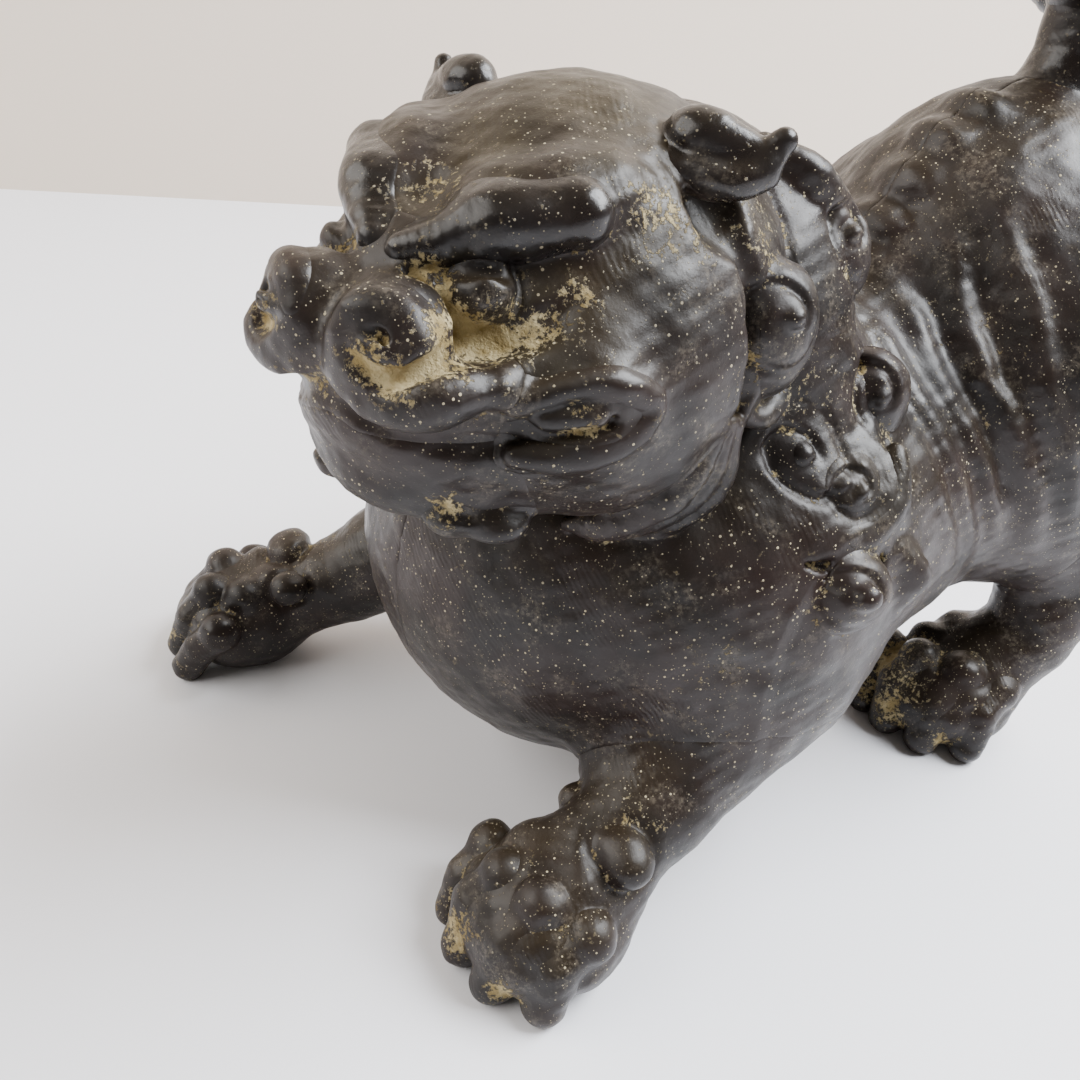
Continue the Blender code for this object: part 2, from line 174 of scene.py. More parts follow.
class Block:
    """A box of voxels: its corner, its pitch and its coordinates, in mm."""

    def __init__(self, low, high, voxel, pad=3):
        self.voxel = voxel
        self.corner = np.floor(np.array(low) / voxel - pad) * voxel
        self.shape = tuple(int(n) for n in np.ceil((np.array(high) - self.corner) / voxel + pad) + 1)
        self.ticks = [(self.corner[i] + voxel * np.arange(n)).astype(np.float32)
                      for i, n in enumerate(self.shape)]

    def window(self, low, high, margin):
        """The slices of the block that a box with this margin covers, or None."""
        first = np.floor((low - margin - self.corner) / self.voxel).astype(int)
        last = np.ceil((high + margin - self.corner) / self.voxel).astype(int) + 1
        first, last = np.maximum(first, 0), np.minimum(last, self.shape)
        if (first >= last).any():
            return None
        return tuple(slice(int(a), int(b)) for a, b in zip(first, last))

    def points(self, window):
        x, y, z = (t[w] for t, w in zip(self.ticks, window))
        return x[:, None, None], y[None, :, None], z[None, None, :]

    def whole(self):
        return tuple(slice(0, n) for n in self.shape)


# ---------------------------------------------------------------- pieces
class Piece:
    """Clay strokes that belong to one node, and how the piece is pressed onto those before it."""

    def __init__(self, node, strokes, join, crease, voxel, slot, split=None):
        self.node, self.join, self.crease = node, join, crease
        self.voxel, self.slot, self.split = voxel * COARSE, slot, split
        self.strokes = [s if isinstance(s, tuple) else (s, 1.5) for s in strokes]
        self.low = np.min([s.low for s, _ in self.strokes], 0)
        self.high = np.max([s.high for s, _ in self.strokes], 0)

    def field(self, block, window):
        """The piece's own distances over one window of a block."""
        found = np.full([w.stop - w.start for w in window], FAR, np.float32)
        start = [w.start for w in window]
        for stroke, k in self.strokes:
            part = block.window(stroke.low, stroke.high, max(k + 2, 5))
            if part is None:
                continue
            part = tuple(slice(max(p.start, w.start), min(p.stop, w.stop)) for p, w in zip(part, window))
            if any(p.start >= p.stop for p in part):
                continue
            inner = tuple(slice(p.start - s, p.stop - s) for p, s in zip(part, start))
            found[inner] = melt(found[inner], stroke.field(*block.points(part)), k)
        return found


STEPS = []               # the pieces and the tool cuts, (stroke, softness), in the order of work


def clay(node, strokes, join=1.2, crease=0.3, voxel=0.34, slot="body_clay", split=None):
    STEPS.append(Piece(node, strokes, join, crease, voxel, slot, split))


def cut(stroke, k=1.0):
    STEPS.append((stroke, k))


SIDES = ((1, "left"), (-1, "right"))


def both(space, centre, half, k, tilt=None):
    """The same ball on both sides, as (stroke, softness) pairs."""
    return [(ball(space, (side * centre[0], *centre[1:]), half, tilt), k) for side, _ in SIDES]


def pad_tilt(outward, up):
    """Axes of a pad: its first lies up, its second across and its third outward."""
    w = np.array(outward, float) / np.linalg.norm(outward)
    u = np.array(up, float) - w * np.dot(up, w)
    u /= np.linalg.norm(u)
    return np.column_stack([u, np.cross(w, u), w])


ENGRAVED = []            # winding grooves on the surface: (middle, axes, half-sizes, turns, side)
GROOVE_DEPTH, GROOVE_WIDTH = 0.75, 0.75      # mm
GROOVE_START = 0.4       # the share of a turn at which a groove leaves its bead


def curl(node, space, centre, half, nub, bead=1.4, join=2.6, side=1, turns=1.5, extra=()):
    """A pressed curl: a dome with a bead, and a groove that winds out from the bead."""
    outward = (side, 0, 0.25)
    centre, nub = [(side * v[0], *v[1:]) for v in (centre, nub)]
    clay(node, [ball(space, centre, half), (ball(space, nub, (bead, bead, bead)), 0.7), *extra],
         join=join, crease=0.3, voxel=0.34)
    tilt = pad_tilt(outward, (0, 0, 1))
    ENGRAVED.append((space.at(nub), space.turn @ tilt, (half[2], half[1], half[0]), turns, side))


def engraved(x, y, z, curl_mark):
    """The depth that a curl's winding groove takes off the surface at these points, in mm."""
    middle, axes, half, turns, side = curl_mark
    u, v, w = along(axes.tolist(), middle.tolist(), x, y, z)
    u, v = u / half[0], v / half[1]
    r = np.hypot(u, v)
    phase = r * turns - side * np.arctan2(v, u) / (2 * math.pi) + GROOVE_START
    off = np.abs(phase - np.round(phase)) / turns * (half[0] + half[1]) / 2
    fade = np.clip((r - 0.2) / 0.12, 0, 1) * np.clip((1.0 - r) / 0.35, 0, 1) * (np.abs(w) < half[2] + 3)
    return GROOVE_DEPTH * fade * np.exp(-(off / GROOVE_WIDTH) ** 2)


# ---------------------------------------------------------------- the lion, in mm from the ground
def body_masses(shrink=0.0):
    """The trunk's three masses, each smaller by the shrink."""
    def h(*sizes):
        return [s - shrink for s in sizes]
    return [
        (ball(BODY, (-3, 40, 40), h(35, 33, 34)), 4),
        (ball(BODY, (0, 70, 46), h(34, 36, 29), tilted(-18)), 14),
        (ball(BODY, (0, 106, 70), h(26, 26, 33), tilted(-22)), 16),
    ]


def build_trunk():
    strokes = body_masses()
    strokes += both(BODY, (22, 108, 58), (15, 20, 30), 10, tilted(-10))
    strokes += both(BODY, (24, 50, 42), (16, 20, 24), 10, tilted(-10))
    strokes.append((ball(HEAD, (0, -18, 75.5), (26.5, 18, 25)), 12))
    for y, z in ((79, 76.6), (83.6, 82.4), (88.3, 88.6), (93, 94), (98.9, 97.8)):
        strokes.append((ball(BODY, (0, y, z), (4.6, 2.9, 2.9), tilted(40)), 3))
    strokes += mane_strands()
    clay("torso", strokes, join=4, crease=0, voxel=0.5, split=BODY)
    for side, _ in SIDES:
        cut(roll(BODY, bent([(side * 31, 20, 39, 0.6), (side * 36, 29, 41.5, 1.6),
                             (side * 40, 41, 41, 0.8)])), 3.0)
        arch = bent([(side * 25, 64, 69, 0.3), (side * 18, 72, 75, 0.7), (side * 13, 80, 79, 0.3)])
        cut(roll(BODY, arch), 3.0)


def build_head():
    strokes = [(ball(HEAD, (0, -38, 81), (26, 26, 24)), 4)]
    strokes += both(HEAD, (12, -44, 76), (14, 18, 15), 6)
    strokes += both(HEAD, (15.5, -56, 78.5), (7.5, 6.5, 7), 5)
    for side, _ in SIDES:
        ridge = bent([(side * 3.5, -59.5, 95.0, 1.8), (side * 9, -55.6, 97, 2.4),
                      (side * 14, -50.5, 97.8, 1.8)])
        strokes.append((roll(HEAD, ridge), 6))
    clay("head_shell", strokes, join=2.0, crease=0.7, voxel=0.42, slot="crown_clay")
    cut(ball(HEAD, (0, -62.2, 97), (3.4, 2.6, 3.4)), 4)
    for side, _ in SIDES:
        edge = bent([(side * 18.5, -40.5, 96.5, 0.6), (side * 23.4, -38.6, 91.5, 1.6),
                     (side * 26.4, -38.2, 84.5, 2.1), (side * 26.6, -38.4, 78, 2.1),
                     (side * 24.6, -40.6, 71, 1.9), (side * 20, -44.5, 64, 1.3)])
        cut(roll(HEAD, edge), 1.0)


def build_face():
    strokes = [(ball(HEAD, (0, -61.5, 80), (14.5, 12, 9.5)), 4),
               (ball(HEAD, (0, -60, 88), (6.6, 9, 5)), 5)]
    strokes += both(HEAD, (4.7, -69.2, 82.8), (7.0, 7.2, 7.4), 1.6)
    strokes += [(roll(HEAD, bent([(side * 6.6, -74, 79.6, 1.8), (side * 9.4, -73, 80.2, 2.6),
                                  (side * 12.2, -70.8, 81.2, 3.0), (side * 15, -66.8, 81.6, 1.8)])), 1.2)
                for side, _ in SIDES]
    clay("muzzle", strokes, join=6.0, crease=0, voxel=0.34)
    jaw = [(ball(HEAD, (0, -58, 69.4), (15, 12.4, 8.6)), 4), (ball(HEAD, (0, -65, 69.8), (8.6, 6.8, 6.2)), 4)]
    lip = bent([(-14, -61.5, 73, 1.0), (-8.6, -68, 72.8, 1.5), (0, -71.2, 75, 2.0), (8.6, -68, 72.8, 1.5),
                (14, -61.5, 73, 1.0)])
    jaw.append((roll(HEAD, lip), 4))
    clay("lower_jaw", jaw, join=5.0, crease=0, voxel=0.36)
    corner = [(20, -60.5, 76, 0.3), (15, -65.8, 75.2, 0.7), (9.4, -71.6, 75.4, 0.9), (4, -74.8, 77.6, 0.9)]
    mouth = bent([(-x, y, z, r) for x, y, z, r in corner] + [(0, -75.4, 78.6, 0.9)] + corner[::-1])
    cut(roll(HEAD, [(x, y, z, r + 0.5) for x, y, z, r in mouth]), 0.7)
    cut(roll(HEAD, bent([(0, -77, 80, 0.7), (0, -77.6, 84, 0.6), (0, -74.5, 88.4, 0.5)])), 2.2)
    for side, name in SIDES:
        build_half_face(side, name)


def build_half_face(side, name):
    def p(x, y, z, r):
        return (side * x, y, z, r)
    lid = bent([p(4.6, -67.4, 90.2, 0.8), p(6.2, -67.6, 88.0, 1.5), p(8.8, -67.2, 85.8, 1.9),
                p(11.6, -64.8, 84.8, 1.9), p(15, -61.6, 86.4, 1.6), p(17.4, -57.4, 90, 0.8)])
    cut(roll(HEAD, lid), 1.6)
    wing = bent([p(3.4, -74.8, 86.2, 1.0), p(4.8, -73.8, 88.2, 1.7), p(7.8, -72.0, 88.2, 1.9),
                 p(10.2, -71.6, 86.2, 1.5), p(9.8, -73.2, 84.6, 0.9)])
    clay("nostril_" + name, [
        ball(HEAD, (side * 6.2, -70.8, 84.8), (5.0, 4.6, 4.8)),
        (roll(HEAD, wing), 0.7),
        (ball(HEAD, (side * 7.4, -74.4, 85.8), (1.8, 1.5, 1.7)), 0.7)], join=2.2, crease=0.05, voxel=0.3)
    cut(roll(HEAD, bent([p(5.4, -76.4, 84.8, 0.5), p(7.4, -76, 83.6, 1.0), p(9.6, -74.6, 83.0, 1.2),
                         p(11.6, -72.2, 84.2, 1.2), p(13, -69.4, 85.2, 0.9)])), 1.0)
    cut(roll(HEAD, bent([p(6.0, -76.6, 86.4, 0.3), p(6.9, -75.9, 87.1, 0.5), p(8.4, -74.6, 86.8, 0.5),
                         p(8.6, -74.6, 85.6, 0.4)])), 0.6)
    cut(roll(HEAD, [p(7.0, -76.2, 85.9, 0.25), p(7.9, -75.8, 85.8, 0.25)]), 0.3)
    clay("eye_" + name, [ball(HEAD, (side * 9.2, -62.6, 88.6), (3.6, 3.5, 3.3))],
         join=0.7, crease=0.3, voxel=0.3)
    cut(roll(HEAD, bent([p(5, -66, 90.6, 0.5), p(9, -64.6, 91, 0.8), p(13.4, -60.2, 91.6, 0.9),
                         p(17.4, -55.2, 93.4, 0.6)])), 1.0)
    brow = bent([p(2.2, -66.4, 91.8, 1.4), p(6.3, -62.8, 93.2, 2.6), p(10.8, -58.4, 94.8, 3.2),
                 p(14.2, -55, 96.0, 3.1)])
    clay("brow_" + name, [roll(HEAD, brow), (ball(HEAD, (side * 7.2, -59.6, 95), (4.4, 3.2, 2.8)), 3)],
         join=2.0, crease=0.2, voxel=0.32, slot="burnished_clay")
    build_ear(side, name)
    hook = bent([p(16.4, -65.4, 79.8, 0.7), p(19.6, -61.6, 82, 1.3), p(22.8, -57.2, 82, 1.5),
                 p(24.4, -53.8, 79.4, 1.5), p(23, -56.4, 76, 1.6), p(19.8, -60.8, 74.6, 1.8),
                 p(16.2, -64.4, 74.4, 1.2)])
    cut(roll(HEAD, [p(16.4, -66, 76.9, 0.7), p(20.4, -61.6, 77.4, 1.0), p(22.6, -58.6, 78.6, 1.3)]), 1.0)
    tongue = roll(HEAD, [p(18.4, -63.0, 78.6, 0.9), p(21.6, -59.2, 79.4, 1.3)])
    clay("mouth_curl_" + name, [roll(HEAD, hook), (tongue, 0.5)], join=1.8, crease=0.2, voxel=0.32)
    clay("beard_curl_" + name, [
        ball(HEAD, (side * 8.8, -65.4, 65.2), (3.0, 3.0, 2.8)),
        (ball(HEAD, (side * 12, -61.8, 64.2), (3.4, 3.4, 2.4)), 2)],
        join=2.2, crease=0.2, voxel=0.32)
    cut(roll(HEAD, bent([p(7.6, -69, 65.6, 0.4), p(9.8, -68.4, 66.8, 0.8), p(12, -66, 66, 0.5)])), 1.0)
    strands = []
    for i, (dy, dz) in enumerate(((-2.8, 1.2), (0.4, -0.2), (3.4, -1.8))):
        strands.append((roll(HEAD, bent([p(25.4, -40 + dy * 0.5, 73.5 + dz * 0.3, 1.2),
                                         p(23.4, -41.5 + dy, 65.6 + dz, 2.3),
                                         p(17, -44.5 + dy, 59 + dz, 2.2),
                                         p(11, -45.5 + dy * 0.6, 56.4 + dz * 0.6, 1.0)])), 0.7))
    clay("jaw_lock_" + name, strands, join=1.6, crease=0.3, voxel=0.32)


def build_ear(side, name):
    def p(x, y, z, r):
        return (side * x, y, z, r)
    cut(ball(HEAD, (side * 20.4, -40.6, 95), (4.4, 3.6, 2.6), tilted(roll=side * 35)), 1.6)
    top = bent([p(13.6, -39, 101, 2.2), p(16, -38.8, 101.6, 3.0), p(19.2, -37.8, 101, 2.4),
                p(22, -36.4, 100.4, 1.8), p(23.6, -35.4, 102.2, 1.2)])
    rim = bent([p(15.2, -41.4, 98.6, 2.0), p(18, -40.4, 98.2, 2.2), p(20.6, -38.8, 98.2, 2.2),
                p(22.6, -36.8, 99.2, 1.9)])
    clay("ear_" + name, [roll(HEAD, top), (roll(HEAD, rim), 1.0)],
         join=1.2, crease=0.3, voxel=0.32, slot="burnished_clay")


def build_mane():
    for side, name in SIDES:
        def p(x, y, z, r):
            return (side * x, y, z, r)
        ring = roll(HEAD, bent([p(24, -36.6, 73.4, 0.8), p(24.6, -30.5, 71.0, 1.5), p(23.8, -23.4, 73.6, 1.7),
                                p(22.4, -20.4, 80.6, 1.6), p(20.4, -22, 88.4, 1.0)]))
        curl("mane_curl_temple_" + name, HEAD, (23.4, -32, 81.8), (5.8, 7.0, 8.2), (28, -34.4, 85),
             side=side, join=1.6, extra=[(ring, 2.0)])
        curl("mane_curl_nape_" + name, HEAD, (19.6, -10.8, 84.6), (5.4, 5.0, 6.6), (23, -12.5, 89),
             bead=1.0, side=side, turns=1.2)
        fold = roll(HEAD, bent([p(24, -31, 55.5, 0.8), p(26.4, -25.4, 52.6, 1.5), p(27.6, -18.6, 52.8, 1.7),
                                p(28, -13, 56, 1.0)]))
        curl("mane_curl_throat_" + name, HEAD, (24.6, -22.6, 62.8), (5.4, 6.6, 8.0), (28.8, -26, 66),
             side=side, turns=1.7, join=1.6, extra=[(fold, 1.6)])
        curl("mane_curl_collar_" + name, BODY, (24, 62.6, 68.6), (4.8, 4.8, 6.4), (27.6, 60.5, 70.6),
             bead=1.0, side=side, turns=1.1)
        crescent = roll(BODY, bent([p(32, 60.5, 65, 1.3), p(34.4, 59, 59.5, 2.3), p(35, 54, 56.4, 2.6),
                                    p(34.2, 48.5, 57.4, 2.2), p(32, 44.5, 60.5, 1.2)]))
        curl("mane_curl_wither_" + name, BODY, (31.5, 52.5, 61.5), (4.0, 5.0, 4.2), (34.8, 52.2, 62.6),
             bead=1.0, side=side, turns=1.2, extra=[(crescent, 1.0)])
        cut(roll(BODY, bent([p(36, 44, 55, 0.4), p(37.4, 50, 53.4, 0.9), p(37, 56, 52.8, 0.9)])), 1.2)
        curl("mane_curl_shoulder_" + name, BODY, (37.6, 51, 50), (5.0, 6.0, 5.6), (41.8, 50, 52), bead=2.0,
             side=side, turns=1.3, join=1.6)


def mane_strands():
    """Locks of the mane that flow between the curls, as (stroke, softness) pairs."""
    strands = []
    for side, _ in SIDES:
        for space, points in (
                (HEAD, [(13, -20, 98, 1.4), (18.5, -16, 95, 2.2), (21, -8, 88, 1.4)]),
                (HEAD, [(24, -17, 78, 1.2), (26.2, -14, 72, 2.0), (27.5, -13.5, 66, 1.4)]),
                (BODY, [(29, 58, 66, 1.2), (33.6, 57.5, 60.5, 2.0), (35.4, 54, 55, 1.4)]),
                (BODY, [(36.6, 60, 53, 0.8), (37.6, 63.6, 48.8, 2.1), (36.8, 62, 44, 0.9)])):
            path = bent([(side * x, y, z, r) for x, y, z, r in points])
            strands.append((roll(space, path), 2.4))
    return strands


LEGS = {
    "foreleg_left": [(30, 49, 29, 13.5), (34, 30, 19, 9.4), (35.4, 19, 13.5, 8), (35.4, 11, 9, 8.2)],
    "foreleg_right": [(-26, 40, 28, 12.5), (-37, 20, 14, 8), (-42, 12, 11, 7.2), (-46, 6, 8, 7.5)],
    "hindleg_left": [(38, 112, 45, 14), (42.5, 112, 28, 8.6), (42.5, 107, 18, 7.6), (38, 101, 10, 8)],
    "hindleg_right": [(-16, 116, 45, 14), (-18, 120, 28, 9), (-21, 112, 18, 7.4), (-24, 106, 10, 8)],
}
SOLE_SIZE = (11.4, 11.4, 8)
# each toe: its knuckle, the top of its claw and the claw's tip, as (x, y, z, radius) in the left paw's axes
TOES = (
    ((-10.4, -2.6, 10.2, 3.5), (-10.2, -6.2, 7.0, 3.0), (-9.4, -8.6, 2.4, 2.7)),
    ((-3.4, -4.8, 13.2, 3.6), (-4.6, -8.0, 9.0, 3.3), (-3.4, -10.2, 2.6, 3.1)),
    ((3.4, -3.4, 13.6, 3.9), (2.8, -7.6, 9.0, 3.4), (3.0, -9.6, 2.6, 3.1)),
    ((8.8, 0.6, 11.6, 3.5), (8.6, -3.8, 8.4, 3.3), (8.8, -5.4, 2.6, 3.1)),
)


def build_legs():
    for leg, path in LEGS.items():
        paw = leg.replace("leg", "")
        space = PAWS[paw]
        side = 1 if paw.endswith("left") else -1
        strokes = [(roll(FIGURE, path), 3), (ball(space, (0, -0.6, 6.4), SOLE_SIZE), 6)]
        for x, y, z, r in ((3.4, 2.8, 15, 3.0), (-5.5, 0.5, 14, 3), (-3, 6, 15, 3.4), (-0.4, -5.6, 11.4, 2.2),
                           (6.2, -4.4, 11.0, 2.4), (-7.4, -5.6, 9.4, 2.2)):
            strokes.append((ball(space, (side * x, y, z), (r, r, r)), 2))
        clay(leg, strokes, join=7, crease=0, voxel=0.42)
        build_paw(paw, space, side)


def build_paw(paw, space, side):
    for number, joints in enumerate(TOES, 1):
        knuckle, top, tip = [(side * x, y, z, r) for x, y, z, r in joints]
        *centre, r = knuckle
        strokes = [roll(space, [(*centre, r * 0.8), top, tip]), (ball(space, centre, (r, r, r)), 0.7)]
        clay("toe_%s_%d" % (paw, number), strokes, join=1.6, crease=0.3, voxel=0.34)
    if paw.startswith("fore"):
        clay("wrist_tuft_" + paw[5:], [
            ball(space, (side * 3.4, 7.6, 17.4), (5.4, 4.4, 3.8), tilted(pitch=30)),
            (ball(space, (-side * 6.6, 8.4, 16.6), (3.3, 3.2, 3.0)), 1)], join=1.0, crease=0.45, voxel=0.34)
        cut(ball(space, (side * 7.2, 11, 20.2), (1.4, 1.4, 1.4)), 0.6)


def build_tail():
    clay("tail_stem", [roll(BODY, [(0, 114, 97, 6.5), (0, 117, 105, 5.6), (0, 118, 113, 6)])],
         join=2.2, crease=0.3, voxel=0.42, slot="burnished_clay")
    flame_roll = bent([(0, 118.5, 114, 6.5), (0, 119, 122, 11), (0, 118.5, 131, 8.6), (0, 117, 139, 5),
                       (0, 116, 145.4, 2.6)])
    clay("tail_flame", [(roll(BODY, flame_roll), 2)], join=1.6, crease=0.3, voxel=0.42,
         slot="burnished_clay")
    for side, name in SIDES:
        lock = bent([(side * 3, 119, 111.5, 3.4), (side * 9, 119.5, 116, 4.6), (side * 12, 119, 123, 4.2),
                     (side * 9.6, 118, 130, 2.6), (side * 10.6, 117.4, 134.6, 1.4)])
        clay("tail_lock_" + name, [roll(BODY, lock)], join=1.2, crease=0.5, voxel=0.38,
             slot="burnished_clay")


build_trunk()
build_head()
build_face()
build_mane()
build_legs()
build_tail()
PIECES = [step for step in STEPS if isinstance(step, Piece)]


def hollow_strokes():
    """The air inside the pressed shells: the masses less their wall, the neck way and the belly vent."""
    strokes = body_masses(WALL)
    strokes.append((ball(HEAD, (0, -36, 80), (20, 20, 18)), 3))
    strokes.append((roll(HEAD, [(0, -34, 74, 9), (0, -12, 52, 9)]), 3))
    strokes.append((roll(BODY, [(0, 72, -5, 6), (0, 72, 40, 6)]), 1))
    return strokes


HOLLOW = Piece("hollow", hollow_strokes(), 1, 0, 0.5, "")


# ---------------------------------------------------------------- sculpting
WAVE_SEED = 5
RIB_PITCH, RIB_HEIGHT = 6.2, 0.42            # mm from rib to rib, and half of a ridge's height


def drying_waves():
    """Directions, wavelengths and heights of the faint unevenness that hand-pressed clay keeps."""
    rng = np.random.default_rng(WAVE_SEED)
    waves = []
    for length, height, count in ((9.0, 0.05, 5), (5.0, 0.03, 5), (2.2, 0.018, 5)):
        for _ in range(count):
            way = rng.normal(size=3)
            way *= 2 * math.pi / length / np.linalg.norm(way)
            waves.append((*way.tolist(), float(rng.uniform(0, 6.28)), height))
    return waves


WAVES = drying_waves()


def uneven(x, y, z):
    total = np.zeros_like(x)
    for a, b, c, phase, height in WAVES:
        total += height * np.sin(a * x + b * y + c * z + phase)
    return total


def ribs(x, y, z):
    """Rib ridges on the flanks: they run down and lean back, and fade at both ends."""
    u, v, w = along(BODY.turn.tolist(), BODY.origin.tolist(), x, y, z)
    lean = v - 0.46 * np.clip(68 - w, 0, 40)
    fade = np.clip((np.abs(u) - 9) / 8, 0, 1) * np.clip((lean - 62) / 8, 0, 1)
    fade *= np.clip((97 - lean) / 5, 0, 1)
    fade *= np.clip((w - 40) / 14, 0, 1) * np.clip((93 - w) / 10, 0, 1)
    return -RIB_HEIGHT * fade * np.cos((lean - 91) * (2 * math.pi / RIB_PITCH))


def dig(block, whole, stroke, k):
    """Take a tool's stroke off the clay that lies there so far."""
    window = block.window(stroke.low, stroke.high, k + 2)
    if window is not None:
        whole[window] = -melt(-whole[window], stroke.field(*block.points(window)), k)


def press_together(block):
    """The whole figure's field over a block, and each piece's own field with the window that it covers."""
    whole = np.full(block.shape, FAR, np.float32)
    own = {}
    for piece in STEPS:
        if isinstance(piece, tuple):
            dig(block, whole, *piece)
            continue
        window = block.window(piece.low, piece.high, max(piece.join + 2, 6))
        if window is None:
            continue
        found = piece.field(block, window)
        before = whole[window]
        if piece.crease:
            groove = piece.crease * np.exp(-((before - found) / 1.1) ** 2)
            whole[window] = melt(before, found, piece.join) + groove * np.clip(1.5 - np.abs(found), 0, 1)
        else:
            whole[window] = melt(before, found, piece.join)
        if piece.split is None:
            own[piece.node] = (window, found)
            continue
        across = along(piece.split.turn.tolist(), piece.split.origin.tolist(), *block.points(window))[0]
        own[piece.node + "_left"] = (window, np.maximum(found, -across))
        own[piece.node + "_right"] = (window, np.maximum(found, across))
    return whole, own


def weathered(block, whole):
    """The field with the clay's unevenness and the ribs added near its surface."""
    i, j, k = np.nonzero(np.abs(whole) < 1.6)
    x, y, z = block.ticks[0][i], block.ticks[1][j], block.ticks[2][k]
    worn = uneven(x, y, z) + ribs(x, y, z)
    for mark in ENGRAVED:
        reach = max(mark[2]) + 1
        near = np.nonzero((np.abs(x - mark[0][0]) < reach) & (np.abs(y - mark[0][1]) < reach)
                          & (np.abs(z - mark[0][2]) < reach))[0]
        if len(near):
            worn[near] += engraved(x[near], y[near], z[near], mark)
    whole[i, j, k] += worn
    return whole


SEAM_REACH, SEAM_DEPTH = 0.12, 0.35          # a seam's sunk margin, mm
LAP = 0.8                # neighbouring pieces run this far under each other, mm


def share_of(node, block, whole, own):
    """The clay that is this node's: where its own field is the deepest, less a hair at its borders."""
    window, mine = own[node]
    others = np.full(mine.shape, FAR, np.float32)
    for name, (place, found) in own.items():
        if name == node:
            continue
        lo = [max(a.start, b.start) for a, b in zip(place, window)]
        hi = [min(a.stop, b.stop) for a, b in zip(place, window)]
        if any(a >= b for a, b in zip(lo, hi)):
            continue
        there = tuple(slice(a - p.start, b - p.start) for a, b, p in zip(lo, hi, place))
        here = tuple(slice(a - w.start, b - w.start) for a, b, w in zip(lo, hi, window))
        others[here] = np.minimum(others[here], found[there])
    border = mine - others
    inset = np.clip((border + SEAM_REACH) * 0.3, 0, SEAM_DEPTH)
    share = np.full(block.shape, FAR, np.float32)
    share[window] = np.maximum(whole[window] + inset, border - LAP)
    air = block.window(HOLLOW.low, HOLLOW.high, 3)
    if air is not None:
        share[air] = np.maximum(share[air], -HOLLOW.field(block, air))
    floor = block.points(block.whole())[2]
    share = np.maximum(share, SOLE_Z - floor)
    for axis in range(3):
        for end in (0, -1):
            edge = [slice(None)] * 3
            edge[axis] = end
            share[tuple(edge)] = np.maximum(share[tuple(edge)], block.voxel)
    return share


def smoothed(field, reach, voxel):
    """A box blur of the field over the given reach in mm."""
    n = max(1, int(round(reach / voxel)))
    for axis in range(3):
        total = np.cumsum(np.pad(field, [(n + 1, n) if a == axis else (0, 0) for a in range(3)], "edge"),
                          axis=axis, dtype=np.float32)
        ahead = np.take(total, range(2 * n + 1, total.shape[axis]), axis=axis)
        behind = np.take(total, range(0, total.shape[axis] - 2 * n - 1), axis=axis)
        field = (ahead - behind) / (2 * n + 1)
    return field


def sampled(field, block, points):
    """The field's values at points, by straight blending between voxels."""
    place = (points - block.corner) / block.voxel
    base = np.clip(np.floor(place).astype(int), 0, np.array(block.shape) - 2)
    part = (place - base).astype(np.float32)
    total = np.zeros(len(points), np.float32)
    for corner in range(8):
        step = [(corner >> a) & 1 for a in range(3)]
        weight = np.ones(len(points), np.float32)
        for a in range(3):
            weight *= part[:, a] if step[a] else 1 - part[:, a]
        total += weight * field[base[:, 0] + step[0], base[:, 1] + step[1], base[:, 2] + step[2]]
    return total


def sculpt(piece):
    """Meshes of a piece's nodes, as (node, slot, points in mm, quads, marks)."""
    border = 2.5
    block = Block(piece.low - border, piece.high + border, piece.voxel)
    whole, own = press_together(block)
    whole = weathered(block, whole)
    near = np.clip(whole, -3, 3)
    fine = smoothed(near, FINE_REACH, block.voxel)
    broad = smoothed(near, BROAD_REACH, block.voxel)
    nodes = [piece.node] if piece.split is None else [piece.node + "_left", piece.node + "_right"]
    made = []
    for node in nodes:
        grid = openvdb.FloatGrid(FAR)
        grid.copyFromArray(share_of(node, block, whole, own))
        points, quads = grid.convertToQuads(isovalue=0.0)
        points = points.astype(np.float64) * block.voxel + block.corner
        skin = np.abs(sampled(whole, block, points)) < 0.6
        marks = {
            "recess": np.where(skin, -sampled(fine, block, points) / 0.5, 0),
            "hollow": np.where(skin, -sampled(broad, block, points) / 1.3, 0),
            "skin": skin.astype(np.float32),
        }
        made.append((node, piece.slot, points, quads, marks))
    return made


def mesh_from(name, points, quads, marks, material):
    """A smooth-shaded mesh object of quads facing outwards, with its marks as vertex attributes."""
    a, b, c, d = (points[quads[:, i]] for i in range(4))
    if np.einsum("ij,ij->i", np.cross(c - a, d - b), a + c).sum() < 0:
        quads = quads[:, ::-1]
    mesh = bpy.data.meshes.new(name)
    mesh.vertices.add(len(points))
    mesh.vertices.foreach_set("co", (points * MM).astype(np.float32).ravel())
    mesh.loops.add(4 * len(quads))
    mesh.loops.foreach_set("vertex_index", quads.astype(np.int32).ravel())
    mesh.polygons.add(len(quads))
    mesh.polygons.foreach_set("loop_start", np.arange(0, 4 * len(quads), 4, dtype=np.int32))
    mesh.polygons.foreach_set("use_smooth", np.ones(len(quads), bool))
    mesh.update(calc_edges=True)
    for mark, values in marks.items():
        attribute = mesh.attributes.new(mark, "FLOAT", "POINT")
        attribute.data.foreach_set("value", values.astype(np.float32))
    mesh.materials.append(material)
    obj = bpy.data.objects.new(name, mesh)
    bpy.context.scene.collection.objects.link(obj)
    return obj


# ---------------------------------------------------------------- materials
def linear(code):
    """A six-digit sRGB hex colour as linear RGBA."""
    values = [int(code[i:i + 2], 16) / 255 for i in (0, 2, 4)]
    return [v / 12.92 if v <= 0.04045 else ((v + 0.055) / 1.055) ** 2.4 for v in values] + [1.0]


